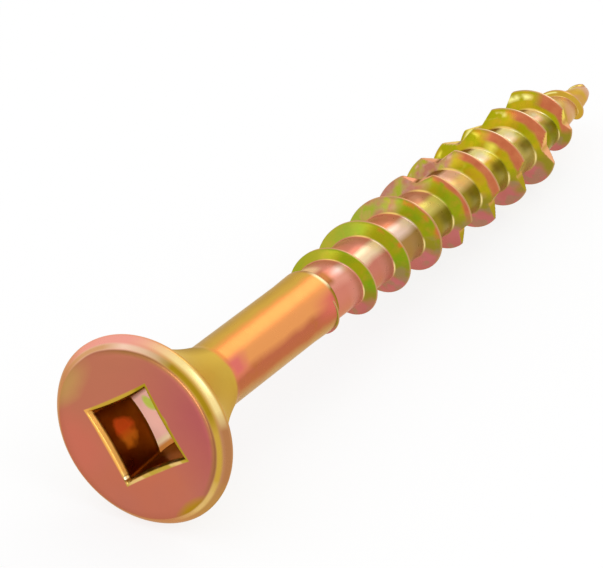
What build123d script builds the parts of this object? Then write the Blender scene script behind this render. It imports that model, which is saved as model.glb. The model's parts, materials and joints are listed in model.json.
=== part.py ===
from build123d import *
import os
from math import atan2, cos, degrees, floor, pi, radians, sin, sqrt, tan

# A flat-head construction screw with a square recess, lying on a table: it rests on the rim
# of its head and on one crest of its thread, with the tip a little lower than the head.
# Millimetres. "Along" is the distance from the face of the head towards the tip.

total_length = 41.3  # 1-5/8 inch, face of the head to the tip
head_diameter = 8.24
face_diameter = 7.28  # flat part of the face, inside the rounded rim
rim_depth = 0.52  # along, to the widest line of the rim
rim_land = 0.26  # from the widest line to the edge of the underside
underside_end = 5.6  # along, where the trumpet-shaped underside meets the shank
underside_sag = 0.34  # hollow of the underside, from its chord
shank_diameter = 2.95
collar_diameter = 3.02  # rolled-up edge of the shank above the thread
collar_length = 1.3
shank_end = 13.72  # along, edge of the collar
shoulder_length = 0.2  # step from the collar down to the thread's root

pitch = 25.4 / 9  # nine threads to the inch, right-handed, one start
thread_start = 13.22  # along, where the crest's count of turns is 0
lead_in = 0.45  # turns before that, where the ridge starts inside the collar
root_diameter = 2.66
crest_diameter = 4.38
crest_flat = 0.12
head_flank_angle = 24.0  # flank facing the head, from the radial line
tip_flank_angle = 26.0  # flank facing the tip
root_bury = 0.14  # the ridge starts this far inside the core
point_length = 7.2  # the core tapers over this length before the tip

recess_side = 3.15  # square socket, under the flare of its mouth
recess_floor_side = 2.9
recess_bow = 0.09  # each wall bulges inwards by this much at its middle
recess_floor_bow = 0.2
recess_mouth_side = 3.36
flare_depth = 0.2
recess_depth = 2.35
recess_cone_depth = 0.5  # conical floor, below the square walls
recess_cone_diameter = 2.45
recess_corner_angle = 9.0  # of one corner, from local +Y towards local +Z

notch_turns = (4, 5, 6, 7, 8)  # turns of the thread that are notched
notch_rows = (-67.0, 57.0, 186.0)  # middle of each row at turn 5, on the thread's own angle
notch_drift = -11.8  # degrees that a row moves with each turn towards the tip
notch_land = 0.34  # what is left of the ridge at the bottom of a notch
notch_wall_angle = 22.0  # walls of the V, from the tangent
notch_slant = 7.0  # degrees between the V's line and the screw's axis
notch_length = 2.2
notch_half_width = 1.7

roll = 134.1  # local angle of the thread's turn 0, with the screw lying as it rests

# Growth of the ridge: turns from the start, share of its full height.
ramp = (
    (-lead_in, 0.03),
    (0.0, 0.17),
    (0.25, 0.32),
    (0.75, 0.51),
    (1.25, 0.65),
    (2.0, 0.75),
    (3.0, 0.84),
    (4.0, 0.91),
    (5.0, 1.0),
)
# Towards the tip: distance from the tip as a share of point_length, share of the radius.
core_point = ((0.0, 0.04), (0.03, 0.22), (0.1, 0.36), (0.35, 0.56), (0.74, 0.85), (1.0, 1.0))
crest_point = ((0.04, 0.2), (0.1, 0.29), (0.28, 0.42), (0.47, 0.535), (0.67, 0.71), (0.85, 1.0))

head_radius = head_diameter / 2
shank_radius = shank_diameter / 2
root_radius = root_diameter / 2
crest_radius = crest_diameter / 2
last_turn = (total_length - crest_point[0][0] * point_length - thread_start) / pitch


def between(table, x):
    """Straight-line value of a table of (x, y) at x, level beyond its ends."""
    if x <= table[0][0]:
        return table[0][1]
    for (x0, y0), (x1, y1) in zip(table, table[1:]):
        if x <= x1:
            return y0 + (y1 - y0) * (x - x0) / (x1 - x0)
    return table[-1][1]


def along_at(turn):
    return thread_start + pitch * turn


def core_at(along):
    return root_radius * between(core_point, (total_length - along) / point_length)


def crest_at(turn):
    height = (crest_radius - root_radius) * between(ramp, turn)
    share = between(crest_point, (total_length - along_at(turn)) / point_length)
    return (root_radius + height) * share


def place(along, radius, turn):
    angle = radians(360 * turn + roll)
    return Vector(along, radius * cos(angle), radius * sin(angle))


def ridge_section(turn):
    """Four corners of the ridge's section: head-side foot, crest edges, tip-side foot."""
    along = along_at(turn)
    top = crest_at(turn)
    foot = max(core_at(along) - root_bury, 0.01)
    head_run = (top - foot) * tan(radians(head_flank_angle))
    tip_run = (top - foot) * tan(radians(tip_flank_angle))
    near = along - crest_flat / 2
    far = along + crest_flat / 2
    return [(near - head_run, foot), (near, top), (far, top), (far + tip_run, foot)]


def ridge_span(turn0, turn1):
    """Solid stretch of the thread's ridge, of ruled faces between four helices."""
    count = max(6, round((turn1 - turn0) * 20))
    turns = [turn0 + (turn1 - turn0) * i / count for i in range(count + 1)]
    rows = [[place(*ridge_section(t)[k], t) for t in turns] for k in range(4)]
    edges = [Edge.make_spline(row, parameters=turns) for row in rows]
    faces = [Face.make_surface_from_curves(edges[k], edges[(k + 1) % 4]) for k in range(4)]
    for end in (0, -1):
        faces.append(Face(Wire.make_polygon([row[end] for row in rows], close=True)))
    return Solid(Shell(faces))


def ridge_spans():
    cuts = [-lead_in] + [k + 0.5 for k in range(floor(last_turn - 1.9))]
    step = (last_turn - cuts[-1]) / 4
    cuts += [cuts[-1] + step * k for k in range(1, 5)]
    return [ridge_span(t0, t1) for t0, t1 in zip(cuts, cuts[1:])]


def core():
    """Head, trumpet-shaped underside, shank, root of the thread and point, by revolving."""
    face_radius = face_diameter / 2
    rim_mid = (0.42 * rim_depth, face_radius + 0.56 * (head_radius - face_radius))
    land = (rim_depth + rim_land, head_radius - 0.3 * rim_land)
    neck = (underside_end, shank_radius)
    run = neck[0] - land[0]
    fall = land[1] - neck[1]
    chord = sqrt(run**2 + fall**2)
    sag = (
        (land[0] + neck[0]) / 2 - underside_sag * fall / chord,
        (land[1] + neck[1]) / 2 - underside_sag * run / chord,
    )
    point_start = total_length - point_length
    outline = [
        (shank_end - collar_length, shank_radius),
        (shank_end - 0.15 * collar_length, collar_diameter / 2),
        (shank_end, collar_diameter / 2),
        (shank_end + shoulder_length, root_radius),
        (point_start, root_radius),
    ]
    outline += [
        (total_length - share * point_length, root_radius * part)
        for share, part in reversed(core_point[:-1])
    ]
    with BuildPart() as body:
        with BuildSketch(Plane.XY):
            with BuildLine():
                Polyline((0, 0), (0, face_radius))
                ThreePointArc((0, face_radius), rim_mid, (rim_depth, head_radius))
                ThreePointArc(
                    (rim_depth, head_radius),
                    (rim_depth + 0.6 * rim_land, head_radius - 0.1 * rim_land),
                    land,
                )
                ThreePointArc(land, sag, neck)
                Polyline(neck, *outline, (total_length, 0), (0, 0))
            make_face()
        revolve(axis=Axis.X)
    return body.part.solid()


def socket_wire(along, side, bow):
    """Square with its sides bowed inwards, across the screw's axis."""
    half = side / 2
    turn = recess_corner_angle - 45
    points = []
    for k in range(4):
        for spread, reach in ((-45, half * sqrt(2)), (0, half - bow)):
            angle = radians(turn + 90 * k + spread)
            points.append(Vector(along, reach * cos(angle), reach * sin(angle)))
    points.append(points[0])
    arcs = [Edge.make_three_point_arc(*points[k : k + 3]) for k in (0, 2, 4, 6)]
    return Wire(arcs)


def recess():
    """Square socket with a flared mouth and a conical floor."""
    above = socket_wire(-0.4 * flare_depth, 1.4 * recess_mouth_side - 0.4 * recess_side, recess_bow)
    lip = socket_wire(flare_depth, recess_side, recess_bow)
    floor_wire = socket_wire(recess_depth, recess_floor_side, recess_floor_bow)
    mouth = Solid.make_loft([above, lip], ruled=True)
    walls = Solid.make_loft([lip, floor_wire], ruled=True)
    cone_plane = Plane(origin=(recess_depth - 0.05, 0, 0), x_dir=(0, 1, 0), z_dir=(1, 0, 0))
    cone = Solid.make_cone(recess_cone_diameter / 2, 0.05, recess_cone_depth, cone_plane)
    return [mouth, walls, cone]


def notch(turn, row):
    """V-shaped tool, across the ridge at one turn of one row."""
    angle = row + notch_drift * (turn - notch_turns[1])
    count = turn + angle / 360
    along = along_at(count)
    bottom = core_at(along) + notch_land
    rise = notch_half_width * tan(radians(notch_wall_angle))
    top = bottom + rise + 1.0
    shape = [(-notch_half_width, bottom + rise), (0, bottom), (notch_half_width, bottom + rise)]
    shape += [(notch_half_width, top), (-notch_half_width, top)]
    points = [Vector(-notch_length / 2, across, up) for across, up in shape]
    blade = Solid.extrude(Face(Wire.make_polygon(points, close=True)), Vector(notch_length, 0, 0))
    blade = blade.rotate(Axis.Z, notch_slant)
    blade = blade.rotate(Axis.X, 360 * count + roll - 90)
    return blade.translate(Vector(along, 0, 0))


def notches():
    return [notch(turn, row) for row in notch_rows for turn in notch_turns]


def resting_tilt():
    """Slope of the axis, with the rim and the lowest crest on one level."""
    lowest = (270 - roll) / 360
    slopes = []
    for k in range(floor(last_turn - lowest) + 1):
        along = along_at(lowest + k)
        slopes.append((head_radius - crest_at(lowest + k)) / (along - rim_depth))
    return degrees(atan2(min(slopes[3:]), 1))


def screw():
    body = core().fuse(*ridge_spans())
    body = body.cut(*notches())
    body = body.cut(*recess())
    return body.solid() if isinstance(body, Compound) else body


def lay_down(body):
    """Tilts the screw onto its rim and a crest, over the middle of its box, on z = 0."""
    lying = body.rotate(Axis.Y, resting_tilt())
    box = lying.bounding_box()
    return lying.translate(Vector(-box.center().X, -box.center().Y, -box.min.Z))


model = lay_down(screw())
os.makedirs("parts", exist_ok=True)
export_step(model, "parts/screw.step")
box = model.bounding_box()
print("tilt", round(resting_tilt(), 3), "size", box.size, "volume", round(model.volume, 2))
print("valid", model.is_valid, "solids", len(model.solids()), "faces", len(model.faces()))
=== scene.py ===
import json
import math
from types import SimpleNamespace

import bpy
import numpy as np
from mathutils import Matrix, Vector


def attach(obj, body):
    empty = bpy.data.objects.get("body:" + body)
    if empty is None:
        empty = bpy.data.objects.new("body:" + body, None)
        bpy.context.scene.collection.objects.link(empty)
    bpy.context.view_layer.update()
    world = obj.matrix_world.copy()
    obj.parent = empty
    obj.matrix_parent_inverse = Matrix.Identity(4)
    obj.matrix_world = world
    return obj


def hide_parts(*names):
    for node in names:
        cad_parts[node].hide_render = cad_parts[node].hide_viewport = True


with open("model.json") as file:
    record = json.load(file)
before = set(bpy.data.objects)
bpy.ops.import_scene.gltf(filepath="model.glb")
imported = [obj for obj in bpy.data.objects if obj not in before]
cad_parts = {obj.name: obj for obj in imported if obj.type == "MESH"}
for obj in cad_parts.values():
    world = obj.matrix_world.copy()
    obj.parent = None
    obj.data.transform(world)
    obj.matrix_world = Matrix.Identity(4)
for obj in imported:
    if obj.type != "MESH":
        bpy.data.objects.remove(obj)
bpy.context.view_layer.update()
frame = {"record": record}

# The screw, in millimetres. "Along" is the distance from the face of the head towards the tip.
LENGTH = 41.3
HEAD_RADIUS = 4.12
FACE_RADIUS = 3.64
RIM_DEPTH = 0.52  # along, to the widest line of the rim
RIM_LAND = 0.26  # from the widest line to the edge of the underside
NECK_END = 5.6  # along, where the underside meets the shank
NECK_SAG = 0.34  # hollow of the underside, from its chord
SHANK_RADIUS = 1.475
COLLAR_RADIUS = 1.51
COLLAR_LENGTH = 1.3
SHANK_END = 13.72  # along, edge of the collar
SHOULDER = 0.2

PITCH = 25.4 / 9
THREAD_START = 13.22  # along, where the crest's count of turns is 0
LEAD_IN = 0.45  # turns before that, where the ridge starts inside the collar
ROOT_RADIUS = 1.33
CREST_RADIUS = 2.19
CREST_FLAT = 0.12
HEAD_FLANK = math.tan(math.radians(24))  # run of the flank facing the head, over its rise
TIP_FLANK = math.tan(math.radians(26))
POINT_LENGTH = 7.2

# Growth of the ridge: turns from the start, share of its full height.
RAMP = (
    (-LEAD_IN, 0.03),
    (0.0, 0.17),
    (0.25, 0.32),
    (0.75, 0.51),
    (1.25, 0.65),
    (2.0, 0.75),
    (3.0, 0.84),
    (4.0, 0.91),
    (5.0, 1.0),
)
# Towards the tip: distance from the tip as a share of POINT_LENGTH, share of the radius.
CORE_POINT = ((0.0, 0.04), (0.03, 0.22), (0.1, 0.36), (0.35, 0.56), (0.74, 0.85), (1.0, 1.0))
CREST_POINT = ((0.04, 0.2), (0.1, 0.29), (0.28, 0.42), (0.47, 0.535), (0.67, 0.71), (0.85, 1.0))

NOTCH_TURNS = (4, 5, 6, 7, 8)
NOTCH_ROWS = (-67.0, 57.0, 186.0)  # middle of each row at turn 5, in degrees on the thread
NOTCH_DRIFT = -11.8  # degrees that a row moves with each turn towards the tip
NOTCH_LAND = 0.34  # what is left of the ridge at the bottom of a notch
NOTCH_WALL = math.tan(math.radians(22))  # slope of the V's walls
NOTCH_SLANT = math.radians(7)
NOTCH_REACH = 1.05  # radians each way about the axis that a notch's tool covers

SOCKET_ANGLE = 9.0  # of one corner, from local +Y towards local +Z
MOUTH_SIDE = 3.36
SOCKET_SIDE = 3.15
FLOOR_SIDE = 2.9
WALL_BOW = 0.09
FLOOR_BOW = 0.2
FLARE_DEPTH = 0.2
SOCKET_DEPTH = 2.35
CONE_RADIUS = 1.225
CONE_DEPTH = 0.5

ROLL = 134.1  # local angle of the thread's turn 0, as the screw lies

# Roundings of the corners, each the width of its blend.
FLANK_EASE = 0.10
CREST_EASE = 0.04
NOTCH_EASE = 0.03
CREASE_EASE = 0.08  # at the bottom of a notch's V
FOOT_FILLET = 0.05
POINT_EASE = 0.35

COLUMNS = 144  # steps of the mesh round the axis
STEP = 360 / COLUMNS
THREAD_SKIN_START = 12.6  # along, inside the collar, where the thread's own mesh starts
NO_LIMIT = 9.0  # radius larger than any of the screw
NO_RIDGE = 0.6  # radius deep inside the core
CREASE_WIDTH = 0.2
MARK_EDGE = 0.06  # over which a mark of the ridge fades
MARKS = ("along", "across", "below", "flank", "height", "notch", "crease", "place", "socket")

# The head's face is centred on the socket's mount, square to its axis. Metres and radians.
SOCKET_MOUNT = next(m for m in frame["record"]["mounts"] if m["name"] == "square_recess")
FACE_CENTRE = Vector(SOCKET_MOUNT["pos_m"])
TILT = math.asin(SOCKET_MOUNT["axis"][2])


# Shape of the screw.


def laid_down(along, radius, degrees):
    """Points about the screw's axis, set down as it lies, in metres."""
    angle = np.radians(degrees)
    x, y, z = along, radius * np.cos(angle), radius * np.sin(angle)
    c, s = math.cos(TILT), math.sin(TILT)
    return np.stack((x * c + z * s, y, z * c - x * s), -1) * 0.001 + FACE_CENTRE


def smooth_max(a, b, width):
    share = np.clip(0.5 + 0.5 * (a - b) / width, 0, 1)
    return b * (1 - share) + a * share + width * share * (1 - share)


def smooth_min(a, b, width):
    return -smooth_max(-a, -b, width)


def core_radius(along):
    """Radius of the thread's root, level until the point, where its corners are eased."""
    xs = [LENGTH - share * POINT_LENGTH for share, part in reversed(CORE_POINT)]
    ys = [ROOT_RADIUS * part for share, part in reversed(CORE_POINT)]
    plain = np.interp(along, xs, ys)
    before = np.interp(along - POINT_EASE, xs, ys)
    after = np.interp(along + POINT_EASE, xs, ys)
    soft = (before + after + plain) / 3
    blend = np.clip((LENGTH - along - POINT_EASE) / 0.6, 0, 1)
    return plain * (1 - blend) + soft * blend


def crest_radius(turn):
    height = (CREST_RADIUS - ROOT_RADIUS) * np.interp(turn, *zip(*RAMP))
    to_tip = (LENGTH - THREAD_START - PITCH * turn) / POINT_LENGTH
    share = np.interp(to_tip, *zip((0.0, 0.0), *CREST_POINT))
    return np.where(turn < -LEAD_IN - 0.02, NO_RIDGE, (ROOT_RADIUS + height) * share)


def notch_limit(along, turn):
    """Radius that the V-shaped notches leave, and how near the line at their bottom is."""
    limit = np.full(along.shape, NO_LIMIT)
    crease = np.zeros(along.shape)
    for row in NOTCH_ROWS:
        for k in NOTCH_TURNS:
            count = k + (row + NOTCH_DRIFT * (k - NOTCH_TURNS[1])) / 360
            middle = THREAD_START + PITCH * count
            bottom = core_radius(middle) + NOTCH_LAND
            delta = np.radians(360 * (turn - count))
            shift = (along - middle) * math.sin(NOTCH_SLANT) * NOTCH_WALL
            lean = np.sin(delta) * math.cos(NOTCH_SLANT) * NOTCH_WALL
            one = (bottom + shift) / np.maximum(np.cos(delta) - lean, 0.05)
            two = (bottom - shift) / np.maximum(np.cos(delta) + lean, 0.05)
            near = np.abs(delta) < NOTCH_REACH
            cut = np.where(near, smooth_max(one, two, CREASE_EASE), NO_LIMIT)
            line = 1 - np.clip(np.abs(one - two) / CREASE_WIDTH, 0, 1)
            crease = np.where(cut < limit, line, crease)
            limit = np.minimum(limit, cut)
    return limit, crease


def thread_radius(turn, offset):
    """Radius of the threaded part at offsets from the crest, and its marks for the colours.

    The marks are the flank (1 towards the head, -1 towards the tip), the height on the ridge,
    the notch, its crease, and the place: the middle of the stretch of root, wound with it.
    """
    along = THREAD_START + PITCH * turn + offset
    core = core_radius(along)
    top = crest_radius(turn)
    head_side = top - (-offset - CREST_FLAT / 2) / HEAD_FLANK
    tip_side = top - (offset - CREST_FLAT / 2) / TIP_FLANK
    ridge = smooth_min(smooth_min(head_side, tip_side, FLANK_EASE), top, CREST_EASE)
    limit, crease = notch_limit(along, turn)
    radius = smooth_max(smooth_min(ridge, limit, NOTCH_EASE), core, FOOT_FILLET)
    above = np.clip((radius - core) / MARK_EDGE, 0, 1)
    flank = above * np.clip(-offset / MARK_EDGE, -1, 1)
    height = above * np.clip((radius - core) / np.maximum(top - core, 0.05), 0, 1)
    notch = above * np.clip((ridge - limit) / 0.05, 0, 1)
    place = THREAD_START + PITCH * turn + PITCH / 2 * np.clip(offset / 0.5, -1, 1)
    return radius, (flank, height, notch, notch * crease, place)


def grid_offsets(turn):
    """Positions of the grid across one pitch, from the crest, crowded at the ridge's corners."""
    half = CREST_FLAT / 2
    rise = max(float(crest_radius(turn) - core_radius(THREAD_START + PITCH * turn)), 0.3)
    head_foot = -half - rise * HEAD_FLANK
    tip_foot = half + rise * TIP_FLANK
    stretches = (
        (-PITCH / 2, 7),
        (head_foot - 0.09, 4),
        (head_foot + 0.01, 8),
        (-half - 0.02, 6),
        (half + 0.035, 7),
        (tip_foot - 0.05, 4),
        (tip_foot + 0.08, 6),
        (PITCH / 2, 0),
    )
    parts = [
        np.linspace(start, end, count, endpoint=False)
        for (start, count), (end, _) in zip(stretches, stretches[1:])
    ]
    return np.concatenate(parts)


def arc(p, q, r, count):
    """Points on the circle through three points, from p to r."""
    d = 2 * (p[0] * (q[1] - r[1]) + q[0] * (r[1] - p[1]) + r[0] * (p[1] - q[1]))
    pp, qq, rr = (a * a + b * b for a, b in (p, q, r))
    cx = (pp * (q[1] - r[1]) + qq * (r[1] - p[1]) + rr * (p[1] - q[1])) / d
    cy = (pp * (r[0] - q[0]) + qq * (p[0] - r[0]) + rr * (q[0] - p[0])) / d
    radius = math.hypot(p[0] - cx, p[1] - cy)
    a0, a1, a2 = (math.atan2(b - cy, a - cx) for a, b in (p, q, r))
    if (a1 - a0) % math.tau > (a2 - a0) % math.tau:
        sweep = -((a0 - a2) % math.tau)
    else:
        sweep = (a2 - a0) % math.tau
    ends = [a0 + sweep * k / count for k in range(count + 1)]
    return [(cx + radius * math.cos(t), cy + radius * math.sin(t)) for t in ends]


def bowed_square(side, bow, angle):
    """Polar radius of a square with sides bowed inwards, at angles in degrees."""
    local = np.radians((angle - SOCKET_ANGLE) % 90 - 45)
    half = side / 2
    bend = (half**2 + bow**2) / (2 * bow)
    centre = half - bow + bend
    inner = np.maximum(bend**2 - (centre * np.sin(local)) ** 2, 0)
    return centre * np.cos(local) - np.sqrt(inner)


def turned_outline():
    """Points (along, radius) from the shoulder, over the collar, underside and rim to the face."""
    lip = [
        (SHANK_END + SHOULDER, ROOT_RADIUS - 0.04),
        (SHANK_END + SHOULDER / 2, ROOT_RADIUS + 0.04),
        (SHANK_END + 0.03, COLLAR_RADIUS - 0.07),
        (SHANK_END, COLLAR_RADIUS - 0.03),
        (SHANK_END - 0.05, COLLAR_RADIUS),
        (SHANK_END - 0.15 * COLLAR_LENGTH, COLLAR_RADIUS),
        (SHANK_END - COLLAR_LENGTH, SHANK_RADIUS),
    ]
    land = (RIM_DEPTH + RIM_LAND, HEAD_RADIUS - 0.3 * RIM_LAND)
    run, fall = NECK_END - land[0], land[1] - SHANK_RADIUS
    chord = math.hypot(run, fall)
    sag = (
        (land[0] + NECK_END) / 2 - NECK_SAG * fall / chord,
        (land[1] + SHANK_RADIUS) / 2 - NECK_SAG * run / chord,
    )
    widest = (RIM_DEPTH, HEAD_RADIUS)
    under = arc((NECK_END, SHANK_RADIUS), sag, land, 24)
    edge = arc(land, (RIM_DEPTH + 0.6 * RIM_LAND, HEAD_RADIUS - 0.1 * RIM_LAND), widest, 4)
    middle = (0.42 * RIM_DEPTH, FACE_RADIUS + 0.56 * (HEAD_RADIUS - FACE_RADIUS))
    rim = arc(widest, middle, (0, FACE_RADIUS), 10)
    face_edge = [(0.012, FACE_RADIUS + 0.008), (0.0, FACE_RADIUS - 0.02)]
    return lip + under + edge[1:] + rim[1:-1] + face_edge


def socket_rows(angle):
    """Rows (along, radius, socket mark) from the face, down the socket's walls to its floor."""
    mouth = bowed_square(MOUTH_SIDE, WALL_BOW, angle)
    rows = []
    for share in (0.15, 0.35, 0.55, 0.75):
        rows.append((0.0, FACE_RADIUS + (mouth - FACE_RADIUS) * share, 0.0))
    rows += [(0.0, mouth + 0.19, 0.0), (0.0, mouth + 0.12, 0.4), (0.0, mouth + 0.02, 0.5)]
    rows.append((0.012, mouth - 0.01, 0.5))
    for share in (0.35, 0.7, 1.0):
        side = MOUTH_SIDE + (SOCKET_SIDE - MOUTH_SIDE) * share
        rows.append((FLARE_DEPTH * share, bowed_square(side, WALL_BOW, angle), 0.5))
    for share in (0.03, 0.15, 0.3, 0.45, 0.6, 0.75, 0.9, 1.0):
        depth = FLARE_DEPTH + (SOCKET_DEPTH - FLARE_DEPTH) * share
        side = SOCKET_SIDE + (FLOOR_SIDE - SOCKET_SIDE) * share
        bow = WALL_BOW + (FLOOR_BOW - WALL_BOW) * share
        rows.append((depth, bowed_square(side, bow, angle), 1.0))
    foot = rows[-1][1]
    for share in (0.985, 0.95, 0.88, 0.75, 0.6, 0.4, 0.2, 0.07):
        radius = foot * share
        cone = SOCKET_DEPTH - 0.05 + CONE_DEPTH * (CONE_RADIUS - radius) / (CONE_RADIUS - 0.05)
        rows.append((np.maximum(SOCKET_DEPTH, cone), radius, 2.0))
    return rows


# Mesh of the screw.


class Skin:
    """Points, their marks and the faces of a mesh, as they are added."""

    def __init__(self):
        self.points = []
        self.marks = []
        self.faces = []

    def add(self, along, radius, degrees, shares=(0.0,) * 5, inside=0.0):
        """Adds points and gives the number of the first."""
        along, radius, degrees = np.broadcast_arrays(along, radius, degrees)
        first = len(self.points)
        self.points.extend(map(tuple, laid_down(along, radius, degrees).reshape(-1, 3)))
        seen = np.radians(degrees - ROLL)
        parts = (along, radius * np.cos(seen), radius * np.sin(seen), *shares, inside)
        table = np.stack(np.broadcast_arrays(*parts), -1)
        self.marks.extend(map(tuple, table.reshape(-1, len(MARKS))))
        return first

    def face(self, *ids):
        """Adds a face, without the points that repeat the one before."""
        kept = [v for k, v in enumerate(ids) if v != ids[k - 1]]
        if len(kept) > 2 and len(set(kept)) == len(kept):
            self.faces.append(kept)

    def fan(self, ring, centre, step):
        """Closes a ring of points with triangles to its centre."""
        for j in range(COLUMNS):
            self.face(ring + j, ring + (j + step) % COLUMNS, centre)

    def mesh(self, name):
        made = bpy.data.meshes.new(name)
        made.from_pydata(self.points, [], self.faces)
        made.validate()
        table = np.array(self.marks, dtype=np.float32)
        for k, mark_name in enumerate(MARKS):
            attribute = made.attributes.new(mark_name, "FLOAT", "POINT")
            attribute.data.foreach_set("value", np.ascontiguousarray(table[:, k]))
        made.polygons.foreach_set("use_smooth", [True] * len(made.polygons))
        return made


def add_turned_part(skin):
    """Closed skin of the collar, shank, head and socket."""
    angle = SOCKET_ANGLE + STEP * np.arange(COLUMNS)
    outline = turned_outline()
    rows = [(along, radius, 0.0) for along, radius in outline] + socket_rows(angle)
    rings = [skin.add(along, radius, angle, inside=inside) for along, radius, inside in rows]
    for here, there in zip(rings, rings[1:]):
        for j in range(COLUMNS):
            k = (j + 1) % COLUMNS
            skin.face(here + j, here + k, there + k, there + j)
    skin.fan(rings[0], skin.add(outline[0][0], 0.0, 0.0), -1)
    skin.fan(rings[-1], skin.add(SOCKET_DEPTH + CONE_DEPTH, 0.0, 0.0, inside=2.0), 1)


def add_column(skin, j, ring, tip):
    """Adds the points across one pitch at step j of the winding, and gives their numbers."""
    degrees = SOCKET_ANGLE + STEP * j
    turn = (degrees - ROLL) / 360
    offset = grid_offsets(turn)
    along = THREAD_START + PITCH * turn + offset
    radius, shares = thread_radius(turn, offset)
    before = along <= THREAD_SKIN_START + 0.02
    beyond = along >= LENGTH - 0.01
    inside = ~before & ~beyond
    first = skin.add(along[inside], radius[inside], degrees, [part[inside] for part in shares])
    ids = np.empty(along.shape, int)
    ids[before] = ring + j % COLUMNS
    ids[beyond] = tip
    ids[inside] = first + np.arange(inside.sum())
    return list(ids)


def add_thread(skin):
    """Closed skin of the threaded part: one strip of grid, wound along it and joined to itself."""
    ring = skin.add(THREAD_SKIN_START, ROOT_RADIUS - 0.02, SOCKET_ANGLE + STEP * np.arange(COLUMNS))
    skin.fan(ring, skin.add(THREAD_SKIN_START, 0.0, 0.0), 1)
    tip = skin.add(LENGTH, 0.0, 0.0)
    lag = (ROLL - SOCKET_ANGLE) / STEP  # steps from the first corner of the socket to turn 0
    low = math.floor(((THREAD_SKIN_START - THREAD_START) / PITCH - 0.5) * COLUMNS + lag) - 1
    high = math.ceil(((LENGTH - THREAD_START) / PITCH + 0.5) * COLUMNS + lag) + 1
    columns = {j: add_column(skin, j, ring, tip) for j in range(low, high + 1)}
    for j in range(low, high):
        here, there = list(columns[j]), list(columns[j + 1])
        if j + COLUMNS + 1 <= high:
            here.append(columns[j + COLUMNS][0])
            there.append(columns[j + COLUMNS + 1][0])
        for i in range(len(here) - 1):
            skin.face(here[i], here[i + 1], there[i + 1], there[i])


def build_screw():
    """One mesh of two closed skins: the turned part, and the thread that goes in under its lip."""
    skin = Skin()
    add_turned_part(skin)
    add_thread(skin)
    made = bpy.data.objects.new("screw_body", skin.mesh("screw_body"))
    bpy.context.collection.objects.link(made)
    return made


# Node helpers. A value is a socket, a number, or a display colour of three parts up to 255.

plating = bpy.data.materials.new("yellow_zinc")
plating.use_nodes = True
tree = plating.node_tree
tree.nodes.clear()


def linear(colour):
    """Linear colour from a display colour of 0 to 255."""
    parts = (c / 255 for c in colour)
    return tuple(c / 12.92 if c < 0.04 else ((c + 0.055) / 1.055) ** 2.4 for c in parts)


def put(socket, value):
    if isinstance(value, bpy.types.NodeSocket):
        tree.links.new(value, socket)
    elif isinstance(value, tuple):
        socket.default_value = (*linear(value), 1)
    else:
        socket.default_value = value


def mark(name):
    made = tree.nodes.new("ShaderNodeAttribute")
    made.attribute_name = name
    return made.outputs["Fac"]


def calc(operation, a, b=0.0):
    made = tree.nodes.new("ShaderNodeMath")
    made.operation = operation
    put(made.inputs[0], a)
    put(made.inputs[1], b)
    return made.outputs[0]


def product(a, *others):
    for other in others:
        a = calc("MULTIPLY", a, other)
    return a


def total(a, *others):
    for other in others:
        a = calc("ADD", a, other)
    return a


def ramp(value, low, high):
    """0 at low and 1 at high, and level beyond them."""
    made = tree.nodes.new("ShaderNodeMapRange")
    made.inputs["From Min"].default_value = low
    made.inputs["From Max"].default_value = high
    put(made.inputs["Value"], value)
    return made.outputs["Result"]


def within(value, low, high, soft):
    return product(ramp(value, low - soft, low + soft), ramp(value, high + soft, high - soft))


def noise(scale, detail=2.0):
    made = tree.nodes.new("ShaderNodeTexNoise")
    made.inputs["Scale"].default_value = scale
    made.inputs["Detail"].default_value = detail
    tree.links.new(tree.nodes.new("ShaderNodeTexCoord").outputs["Object"], made.inputs["Vector"])
    return made.outputs["Fac"]


def mix(share, a, b):
    made = tree.nodes.new("ShaderNodeMix")
    made.data_type = "RGBA"
    put(made.inputs["Factor"], share)
    put(made.inputs[6], a)
    put(made.inputs[7], b)
    return made.outputs[2]


def layers(colour, *coats):
    """Colour with further ones laid over it in turn, each by its share."""
    for share, coat in coats:
        colour = mix(share, colour, coat)
    return colour


def steps(value, colour, *changes):
    """Colour that turns into the next one as the value passes from low to high."""
    return layers(colour, *((ramp(value, low, high), after) for low, high, after in changes))


def swing(source, amount):
    """A noise about 0, as wide as the amount."""
    return product(calc("SUBTRACT", source, 0.5), amount)


def surface_marks():
    """Marks of the mesh, what follows from them, and the noises that break up the colours."""
    made = SimpleNamespace(**{name: mark(name) for name in MARKS})
    across, below = made.across, made.below
    made.radius = calc("SQRT", total(product(across, across), product(below, below)))
    made.side = calc("DIVIDE", below, made.radius)  # -1 at the photograph's upper outline, 1 lower
    made.front = calc("DIVIDE", across, made.radius)
    made.ahead = calc("SUBTRACT", made.along, made.place)  # from mid root to the next ridge
    made.broad, made.medium = noise(240), noise(700)
    made.fine, made.grain = noise(2400, 3.0), noise(1300)
    made.wavy = total(made.side, swing(made.medium, 0.2))
    made.stretch = total(made.place, swing(made.medium, 0.9))
    made.wander = swing(made.medium, 1.4)
    return made


at = surface_marks()


def patch(x, y, wide, high, soft=0.5):
    """Ragged oval patch about a place on the cross-section, 1 inside and 0 outside."""
    dx = calc("DIVIDE", calc("SUBTRACT", at.across, x), wide)
    dy = calc("DIVIDE", calc("SUBTRACT", at.below, y), high)
    return ramp(total(product(dx, dx), product(dy, dy), at.wander), 1 + soft, 1 - soft)


# Colours of the film, region by region. Left, right, upper and lower are the photograph's.
# The ranges of at.along, at.place and at.stretch are in millimetres, at.side and at.front run
# from -1 to 1, and at.height runs from 0 at the root to 1 at the crest.


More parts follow.
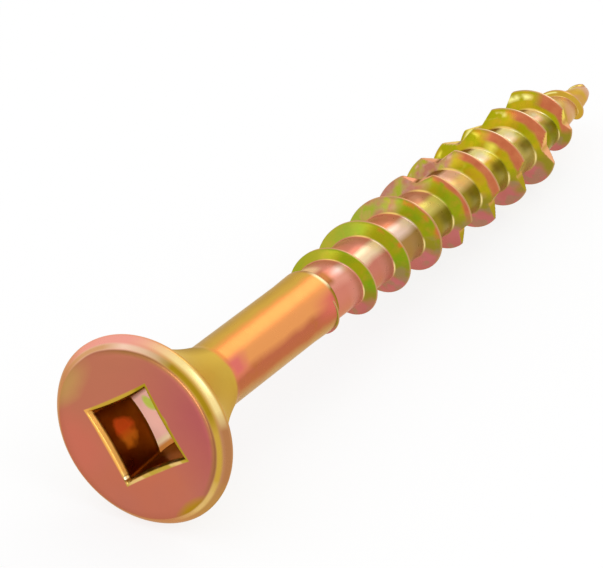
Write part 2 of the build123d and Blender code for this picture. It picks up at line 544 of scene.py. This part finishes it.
def face_colour():
    return layers(
        mix(ramp(at.broad, 0.35, 0.65), (192, 107, 79), (184, 108, 88)),
        (ramp(at.across, 0.4, 3.0), (174, 90, 88)),  # mauve towards the right
        (ramp(at.below, 0.6, -2.8), (182, 110, 85)),
        (patch(-1.7, -3.5, 1.5, 0.7, 1.0), (188, 142, 86)),  # olive gold, upper left
        (patch(-2.9, -1.2, 1.1, 1.3, 1.0), (194, 107, 86)),
        (patch(0.1, 3.85, 1.0, 0.4, 0.8), (176, 132, 30)),  # gold at the bottom
        (patch(1.62, 0.15, 0.14, 0.26, 0.6), (168, 160, 66)),  # green, beside the socket
        (product(ramp(at.radius, 3.46, 3.62), ramp(at.front, 0.2, 0.6), 0.7), (144, 104, 50)),
    )


def rim_colour():
    """Bands that follow the rounded rim, pink at the top and gold at the right, with painted
    highlights.
    """
    inner = within(at.along, 0.05, 0.21, 0.04)
    outer = within(at.along, 0.29, 0.54, 0.05)
    # Painted highlights: the cream inner band at the top and the cream outer band at the right.
    top = layers(
        (244, 164, 148),
        (inner, (250, 210, 184)),
        (product(inner, ramp(at.side, -0.82, -0.94)), (218, 164, 116)),
    )
    right = layers((212, 166, 84), (inner, (168, 134, 26)), (outer, (248, 222, 150)))
    lower = layers((190, 134, 92), (inner, (204, 164, 66)), (outer, (182, 124, 78)))
    under = mix(inner, (190, 142, 80), (226, 188, 116))
    return layers(
        top,
        (ramp(at.wavy, -0.8, -0.35), right),
        (ramp(at.wavy, 0.30, 0.48), lower),
        (ramp(at.wavy, 0.88, 0.98), under),
        (ramp(at.front, 0.05, -0.35), (200, 136, 96)),
    )


def underside_colour():
    return steps(
        at.side,
        (156, 122, 44),
        (-0.9, -0.5, (214, 182, 80)),
        (0.1, 0.8, (206, 164, 60)),
    )


def collar_lip_colour():
    # Painted highlight: cream on the upper side of the lip's rounding; painted shade: dark olive on
    # its lower side.
    return steps(
        at.side,
        (186, 136, 90),
        (-0.75, -0.55, (250, 226, 180)),
        (-0.15, 0.05, (150, 122, 34)),
        (0.6, 0.75, (200, 140, 96)),
    )


def shank_colour():
    """Gold, orange and copper from the upper outline to the lower, with two blushes."""
    bands = steps(
        at.wavy,
        (182, 148, 70),
        (-0.95, -0.75, (212, 170, 76)),
        (-0.72, -0.55, (242, 156, 86)),
        (-0.25, 0.0, (236, 157, 92)),
        (0.28, 0.5, (192, 105, 76)),
        (0.75, 0.95, (204, 162, 104)),
    )
    neck_blush = product(
        within(total(at.along, swing(at.medium, 1.2)), 5.0, 6.4, 0.5),
        within(at.wavy, -0.12, 0.42, 0.12),
    )
    collar_blush = product(ramp(at.along, 11.8, 13.4), within(at.side, 0.08, 0.7, 0.15))
    return layers(
        bands,
        (product(ramp(at.medium, 0.5, 0.6), within(at.side, 0.45, 0.7, 0.1)), (190, 112, 56)),
        (neck_blush, (226, 116, 108)),
        (collar_blush, (222, 110, 98)),
        # The collar's lip, with its painted highlight and painted shade.
        (ramp(at.along, SHANK_END - 0.3, SHANK_END - 0.12), collar_lip_colour()),
    )


def root_bands():
    """Upper, middle and lower band of the root, changing from turn to turn, partly painted light.
    """
    # The near-white upper band from about 27 mm on is a painted highlight.
    upper = steps(
        at.stretch,
        (210, 128, 108),
        (18.3, 19.3, (210, 130, 98)),
        (21.1, 22.1, (196, 132, 98)),
        (23.9, 24.9, (240, 190, 162)),
        (26.8, 27.8, (255, 246, 176)),
        (32.4, 33.4, (240, 206, 150)),
    )
    # The cream middle band from about 16 mm to 22 mm is a painted highlight.
    middle = steps(
        at.stretch,
        (228, 152, 132),
        (15.5, 16.5, (244, 214, 176)),
        (18.3, 19.3, (238, 206, 186)),
        (21.1, 22.1, (214, 198, 104)),
        (23.9, 24.9, (232, 200, 128)),
        (26.8, 27.8, (224, 206, 66)),
        (29.6, 30.6, (196, 184, 84)),
    )
    # The lower band is darker partly as painted shade.
    lower = steps(
        at.stretch,
        (214, 130, 112),
        (15.5, 16.5, (204, 124, 106)),
        (18.3, 19.3, (170, 130, 72)),
        (21.1, 22.1, (150, 134, 40)),
        (29.6, 30.6, (184, 164, 84)),
        (32.4, 33.4, (138, 138, 14)),
    )
    # Painted shadow: dark brown on the root's upper edge, under the crest of the turn before.
    crest_shadow = product(
        ramp(at.side, -0.72, -0.84), ramp(at.front, -0.2, 0.2), ramp(at.along, 23.0, 26.0)
    )
    upper = mix(crest_shadow, upper, (128, 82, 26))
    return layers(upper, (ramp(at.wavy, -0.45, -0.3), middle), (ramp(at.wavy, 0.0, 0.25), lower))


def point_colour():
    return layers(
        mix(ramp(at.medium, 0.4, 0.6), (206, 166, 66), (212, 156, 116)),
        (ramp(at.along, 40.2, 40.8), (206, 152, 120)),
    )


def root_colour():
    """Pink and peach at first, olive gold further on, with painted shade and a painted highlight on
    each turn, and painted light by the collar.
    """
    level = calc("SUBTRACT", at.wavy, product(ramp(at.place, 28.5, 27.5), 0.24))
    # Painted shade: dark olive beside the foot of the next ridge, on the middle and lower side,
    # from about 22 mm on.
    deep = product(
        ramp(at.ahead, -0.1, 0.3), within(level, 0.02, 0.46, 0.12), ramp(at.place, 21.5, 22.5), 0.8
    )
    # Painted highlight: near-white on the upper side, on the head-side half of each stretch, from
    # about 27 mm on.
    root_highlight = product(
        ramp(at.ahead, 0.9, 0.4), within(at.wavy, -0.58, -0.2, 0.1), ramp(at.place, 26.8, 27.8)
    )
    return layers(
        root_bands(),
        (deep, (112, 104, 6)),
        (root_highlight, (255, 252, 220)),
        # Painted shade: brown beside the collar's edge, where the root starts.
        (product(ramp(at.along, 14.5, 14.2), within(at.side, -0.6, -0.05, 0.1)), (168, 104, 60)),
        # Painted highlights: a white-pink spot on the first turn, and cream on the upper side by
        # the collar.
        (
            product(within(at.along, 14.8, 15.5, 0.3), within(at.side, -0.4, -0.2, 0.12)),
            (252, 222, 214),
        ),
        (product(ramp(at.along, 14.7, 14.3), ramp(at.side, -0.6, -0.75)), (240, 196, 150)),
        (ramp(total(at.along, swing(at.medium, 1.5)), 35.5, 37.5), point_colour()),
    )


def olive_colour():
    """Lime that turns to olive gold along the thread, with specks towards the crest."""
    lime = mix(ramp(at.medium, 0.40, 0.60), (126, 158, 24), (160, 156, 22))
    gold = mix(ramp(at.grain, 0.40, 0.60), (168, 164, 16), (194, 166, 28))
    pale = product(ramp(at.side, -0.45, -0.85), within(at.along, 15.0, 27.0, 1.0), 0.4)
    tan = product(
        ramp(at.side, -0.7, -0.9), within(at.along, 20.4, 26.0, 0.8), ramp(at.fine, 0.44, 0.6), 0.5
    )
    specks = product(
        ramp(at.height, 0.6, 0.85),
        ramp(at.grain, 0.50, 0.60),
        ramp(at.along, 16.0, 18.0),
        ramp(at.side, -0.85, -0.65),
    )
    return layers(
        lime,
        (ramp(at.along, 23.0, 27.0), gold),
        (product(ramp(at.fine, 0.52, 0.72), 0.4), (196, 150, 48)),
        (pale, (200, 194, 76)),
        (tan, (214, 156, 112)),
        (specks, (206, 124, 46)),
    )


def salmon_share():
    """Where the head-side flank turns salmon: a band at the crest, wider towards the tip."""
    edge = calc("SUBTRACT", 1.04, product(ramp(at.along, 19.5, 28.0), 0.62))
    edge = calc("SUBTRACT", edge, product(ramp(at.along, 33.5, 35.5), 0.26))
    height = total(at.height, swing(at.medium, 0.6))
    return product(ramp(calc("SUBTRACT", height, edge), 0.0, 0.16), ramp(at.wavy, -0.72, -0.5))


def lower_flank_colour():
    return layers(
        mix(ramp(at.medium, 0.35, 0.65), (200, 114, 112), (188, 104, 98)),
        (ramp(total(at.front, swing(at.medium, 1.3)), 0.16, 0.46), (150, 136, 40)),
        (product(ramp(at.grain, 0.5, 0.6), 0.6), (160, 130, 96)),
    )


def head_flank_colour():
    """Lime and olive, salmon towards the crest, pink on the lower side, with painted highlights in
    streaks and spots.
    """
    salmon = mix(ramp(at.fine, 0.3, 0.7), (204, 120, 78), (194, 106, 70))
    mottle = product(
        ramp(at.side, -0.5, -0.8),
        ramp(at.medium, 0.42, 0.52),
        within(at.along, 20, 27.5, 1),
        ramp(at.grain, 0.34, 0.50),
    )
    # Painted highlight: streaks high on the upper side of the flank, from about 25 mm on.
    glint_streak = product(
        ramp(at.side, -0.70, -0.82),
        within(at.height, 0.58, 0.8, 0.08),
        ramp(at.along, 25.0, 26.0),
        ramp(at.grain, 0.44, 0.54),
    )
    # Colours of the painted highlight in the streaks.
    glint_colours = steps(
        at.along,
        (240, 192, 168),
        (27.5, 28.5, (248, 234, 84)),
        (31.0, 32.0, (252, 244, 150)),
    )
    # Painted highlight: yellow spots low on the flank, from 26 mm to 31 mm.
    glint_spot = product(
        within(at.wavy, -0.5, -0.25, 0.1),
        ramp(at.height, 0.6, 0.35),
        within(at.along, 26, 31, 0.6),
        ramp(at.medium, 0.38, 0.5),
    )
    return layers(
        olive_colour(),
        (salmon_share(), salmon),
        (ramp(total(at.side, swing(at.medium, 0.5)), 0.55, 0.8), lower_flank_colour()),
        (mottle, mix(ramp(at.fine, 0.4, 0.6), (194, 138, 118), (186, 120, 96))),
        (ramp(at.along, 37.0, 37.6), (204, 164, 58)),
        (glint_streak, glint_colours),
        (glint_spot, (246, 236, 96)),
    )


def tip_flank_colour():
    """Gold and pink at first, pale gold further on."""
    return layers(
        mix(ramp(at.medium, 0.4, 0.6), (206, 164, 80), (214, 142, 104)),
        (ramp(total(at.along, swing(at.medium, 4.0)), 20.0, 32.0), (228, 192, 124)),
    )


def with_ridge(body):
    """Colours of both flanks over the root, with painted glints at the feet, a painted shadow near
    the point and a painted highlight along the crest.
    """
    head_side = ramp(at.flank, 0.05, 0.3)
    # Painted highlights: glints at the head-side foot, high and low on the thread.
    upper_glint = product(head_side, ramp(at.height, 0.14, 0.06), within(at.side, -0.85, -0.5, 0.1))
    lower_glint = product(head_side, ramp(at.height, 0.12, 0.04), within(at.side, 0.62, 0.9, 0.08))
    # Painted shadow: a dark line at the tip-side foot of the ridge near the point.
    tip_foot_shadow = product(
        ramp(at.flank, -0.05, -0.3), ramp(at.height, 0.35, 0.1), ramp(at.along, 38.0, 38.6)
    )
    # Painted highlight: a pale line along the crest.
    crest = product(ramp(at.height, 0.95, 0.99), calc("SUBTRACT", 1.0, at.notch), 0.45)
    return layers(
        body,
        (ramp(at.flank, 0.2, 0.8), head_flank_colour()),
        (ramp(at.flank, -0.2, -0.8), tip_flank_colour()),
        (upper_glint, (244, 204, 112)),
        (tip_foot_shadow, (104, 74, 20)),
        (lower_glint, (252, 226, 150)),
        (crest, (216, 168, 130)),
    )


def with_notches(body):
    """Notches, pink first and yellow further on, partly painted highlight, with a line of painted
    shade and highlight at the bottom of the V.
    """
    # Facets: the film's pink and yellow, the brighter cream and yellow partly painted highlight.
    upper = steps(
        at.stretch,
        (236, 160, 126),
        (26.5, 27.5, (244, 196, 150)),
        (29, 30, (244, 226, 100)),
    )
    # Lower facets: olive, then orange-cream from about 32 mm, partly painted highlight.
    lower = steps(at.along, (170, 150, 34), (31.5, 32.5, (246, 176, 130)))
    # Painted shade: the crease is dark brown on the upper front side; elsewhere it is a pale line,
    # a painted highlight.
    dark = product(ramp(at.side, 0.4, 0.0), ramp(at.front, -0.3, 0.1))
    return layers(
        body,
        (at.notch, mix(ramp(at.side, 0.2, 0.5), upper, lower)),
        (ramp(at.crease, 0.2, 0.9), mix(dark, (206, 160, 84), (112, 64, 20))),
    )


def flare_colour():
    """Bevel round the socket's mouth, gold and olive, with a painted highlight along the bottom,
    and painted shade round a painted glint at its left corner.
    """
    return layers(
        (228, 166, 84),
        (ramp(at.across, -1.3, -1.0), (194, 158, 56)),
        # Painted highlight: the cream band along the bottom.
        (ramp(at.below, 0.8, 1.1), (222, 186, 116)),
        (product(ramp(at.grain, 0.48, 0.58), ramp(at.below, 0.8, 1.1)), (188, 158, 62)),
        (ramp(at.across, 1.2, 1.5), (168, 142, 30)),
        # Painted shade in the scooped lower left corner, then a painted glint in it.
        (patch(-1.83, 1.2, 0.2, 0.16, 0.5), (126, 74, 24)),
        (patch(-1.87, 1.13, 0.09, 0.07, 0.3), (255, 240, 200)),
    )


def wall_colour():
    """Painted shade: dark brown, with a painted reflection of the lit floor, orange, on the left
    wall.
    """
    depth = calc("DIVIDE", calc("SUBTRACT", at.along, 1.12), 0.62)
    lean = calc("DIVIDE", calc("ADD", at.below, 0.4), 0.62)
    reach = total(product(depth, depth), product(lean, lean), swing(at.grain, 3.0))
    # Painted reflection of the lit floor: orange on the left wall, amber lower down.
    glow = steps(at.below, (226, 112, 44), (-0.5, -0.1, (220, 146, 44)))
    return layers(
        mix(ramp(at.fine, 0.4, 0.7), (122, 66, 8), (134, 76, 14)),
        (product(ramp(reach, 1.2, 0.3), ramp(at.across, -0.9, -1.1)), glow),
    )


def floor_colour():
    """Pale pink, with a green patch, orange at its lower corner, and a painted shadow at its upper
    edge.
    """
    return layers(
        # Painted shadow: dark brown at the floor's upper edge, under the wall.
        (140, 74, 40),
        (ramp(at.below, -1.36, -1.16), (255, 204, 190)),
        (patch(-0.6, -0.7, 0.2, 0.4, 0.4), (206, 222, 96)),
        (ramp(at.below, 0.6, 0.8), (255, 230, 190)),
        (ramp(at.below, 0.85, 1.0), (226, 150, 70)),
    )


def film_colour(floor_share):
    """The whole screw: its regions one over the other."""
    neck_edge = total(at.along, swing(at.medium, 0.3))
    face_edge = total(at.along, swing(at.medium, 0.04))
    plain = layers(
        underside_colour(),
        (ramp(neck_edge, 5.05, 5.3), shank_colour()),
        (ramp(at.along, SHANK_END + 0.06, SHANK_END + 0.12), root_colour()),
    )
    return layers(
        with_notches(with_ridge(plain)),
        (ramp(at.along, 0.95, 0.75), rim_colour()),
        (ramp(face_edge, 0.07, 0.03), face_colour()),
        (ramp(at.socket, 0.1, 0.4), flare_colour()),
        (ramp(at.socket, 0.6, 0.9), wall_colour()),
        (floor_share, floor_colour()),
    )


def roughness(floor_share):
    """Satin, duller on the face, the underside and the socket's floor."""
    return total(
        product(at.fine, 0.1),
        0.24,
        product(ramp(at.along, 0.05, 0.0), 0.1),
        product(within(at.along, 1.0, 5.0, 0.3), 0.2),
        product(floor_share, 0.3),
    )


def metal_share(floor_share):
    """Less in the socket and beside the next ridge, whose dark flank the root would mirror."""
    beside = product(
        ramp(at.ahead, -0.1, 0.6),
        ramp(at.flank, 0.3, 0.0),
        ramp(at.along, SHANK_END, SHANK_END + 0.2),
    )
    return calc("SUBTRACT", 1.0, total(product(floor_share, 0.7), product(beside, 0.6)))


def finish_plating():
    """Yellow chromate over zinc: a satin metal whose thin film changes colour."""
    out = tree.nodes.new("ShaderNodeOutputMaterial")
    shader = tree.nodes.new("ShaderNodeBsdfPrincipled")
    bump = tree.nodes.new("ShaderNodeBump")
    floor_share = ramp(at.socket, 1.1, 1.6)
    put(out.inputs["Surface"], shader.outputs["BSDF"])
    put(shader.inputs["Base Color"], film_colour(floor_share))
    put(shader.inputs["Roughness"], roughness(floor_share))
    put(shader.inputs["Metallic"], metal_share(floor_share))
    put(shader.inputs["Specular Tint"], (244, 222, 186))
    put(shader.inputs["Normal"], bump.outputs["Normal"])
    put(bump.inputs["Strength"], 0.25)
    put(bump.inputs["Distance"], 0.00003)
    put(bump.inputs["Height"], noise(1500, 3.0))


# Camera, fitted to the photograph's outline of the head, thread and tip. Its own directions are
# right, down and away, and its numbers are for a frame of 603 pixels across.
FRAME_WIDTH = 603
FOCAL_LENGTH = 3114.6  # pixels
LOOK_DOWN = math.radians(29.87)
AXIS_SEEN = Vector((0.50315, -0.37708, 0.77759))  # from the head to the tip
FACE_SEEN = Vector((-0.006572, 0.006016, 0.1236))  # metres, centre of the head's face
SENSOR_WIDTH = 36


def set_camera():
    """The photograph's view."""
    rise = Vector((0, -math.cos(LOOK_DOWN), -math.sin(LOOK_DOWN)))
    axis = AXIS_SEEN.normalized()
    ahead = (axis - rise * axis.dot(rise)).normalized()
    turn = Matrix((ahead, rise.cross(ahead), rise))  # from the camera's directions to the scene's
    columns = [turn @ Vector(v) for v in ((1, 0, 0), (0, -1, 0), (0, 0, -1))]
    data = bpy.data.cameras.new("camera")
    data.sensor_width = SENSOR_WIDTH
    data.lens = FOCAL_LENGTH / FRAME_WIDTH * SENSOR_WIDTH
    data.clip_start = 0.005
    data.clip_end = 20
    camera = bpy.data.objects.new("camera", data)
    pose = Matrix(columns).transposed().to_4x4()
    pose.translation = FACE_CENTRE - turn @ FACE_SEEN
    camera.matrix_world = pose
    bpy.context.collection.objects.link(camera)
    bpy.context.scene.camera = camera


# Floor, background and lamps.
FLOOR_HALF = 1.5
FLOOR_TONE = 0.93
FLOOR_WHITE = 0.8  # share of pure white in the floor, where it is seen
WORLD_STRENGTH = 0.97


def seen_share(nodes, links):
    """What the camera sees, straight or by way of metal, and not the light on the object."""
    path = nodes.new("ShaderNodeLightPath")
    seen = path.outputs["Is Camera Ray"]
    for name in ("Is Glossy Ray", "Is Transmission Ray"):
        either = nodes.new("ShaderNodeMath")
        either.operation = "MAXIMUM"
        links.new(seen, either.inputs[0])
        links.new(path.outputs[name], either.inputs[1])
        seen = either.outputs[0]
    share = nodes.new("ShaderNodeMath")
    share.operation = "MULTIPLY"
    share.inputs[1].default_value = FLOOR_WHITE
    links.new(seen, share.inputs[0])
    return share.outputs[0]


def floor_material():
    """Matt pale floor that keeps a faint shadow and is nearly white in the picture."""
    material = bpy.data.materials.new("floor")
    material.use_nodes = True
    nodes, links = material.node_tree.nodes, material.node_tree.links
    shader = nodes["Principled BSDF"]
    shader.inputs["Base Color"].default_value = (FLOOR_TONE, FLOOR_TONE, FLOOR_TONE, 1)
    shader.inputs["Roughness"].default_value = 0.9
    shader.inputs["Specular IOR Level"].default_value = 0.0
    glow = nodes.new("ShaderNodeEmission")
    glow.inputs["Strength"].default_value = 1.0
    blend = nodes.new("ShaderNodeMixShader")
    links.new(seen_share(nodes, links), blend.inputs[0])
    links.new(shader.outputs[0], blend.inputs[1])
    links.new(glow.outputs[0], blend.inputs[2])
    links.new(blend.outputs[0], nodes["Material Output"].inputs[0])
    return material


def set_floor():
    h = FLOOR_HALF
    mesh = bpy.data.meshes.new("floor")
    mesh.from_pydata([(-h, -h, 0), (h, -h, 0), (h, h, 0), (-h, h, 0)], [], [(0, 1, 2, 3)])
    mesh.materials.append(floor_material())
    floor = bpy.data.objects.new("floor", mesh)
    bpy.context.collection.objects.link(floor)


def set_world():
    world = bpy.data.worlds.new("world")
    world.use_nodes = True
    background = world.node_tree.nodes["Background"]
    background.inputs["Color"].default_value = (1, 1, 1, 1)
    background.inputs["Strength"].default_value = WORLD_STRENGTH
    bpy.context.scene.world = world


def area_light(name, place, target, width, power):
    """Square lamp that faces a target. Metres and watts."""
    data = bpy.data.lights.new(name, "AREA")
    data.shape = "SQUARE"
    data.size = width
    data.energy = power
    light = bpy.data.objects.new(name, data)
    light.location = place
    light.rotation_mode = "QUATERNION"
    light.rotation_quaternion = (Vector(target) - Vector(place)).to_track_quat("-Z", "Y")
    bpy.context.collection.objects.link(light)


finish_plating()
body = build_screw()
body.data.materials.append(plating)
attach(body, "root")
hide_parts("screw")

set_floor()
set_world()
area_light("beyond", (0.30, 0.0, 0.22), (0, 0, 0), 0.18, 0.09)
area_light("side", (-0.04, -0.20, 0.24), (0, 0, 0), 0.12, 0.08)
area_light("ahead", (-0.36, 0.0, 0.0237), (-0.02, 0, 0.004), 0.03, 0.35)  # on the screw's axis
area_light("front", (-0.34, 0.02, 0.09), (0, 0, 0), 0.12, 0.06)
set_camera()
bpy.context.scene.view_settings.view_transform = "Standard"
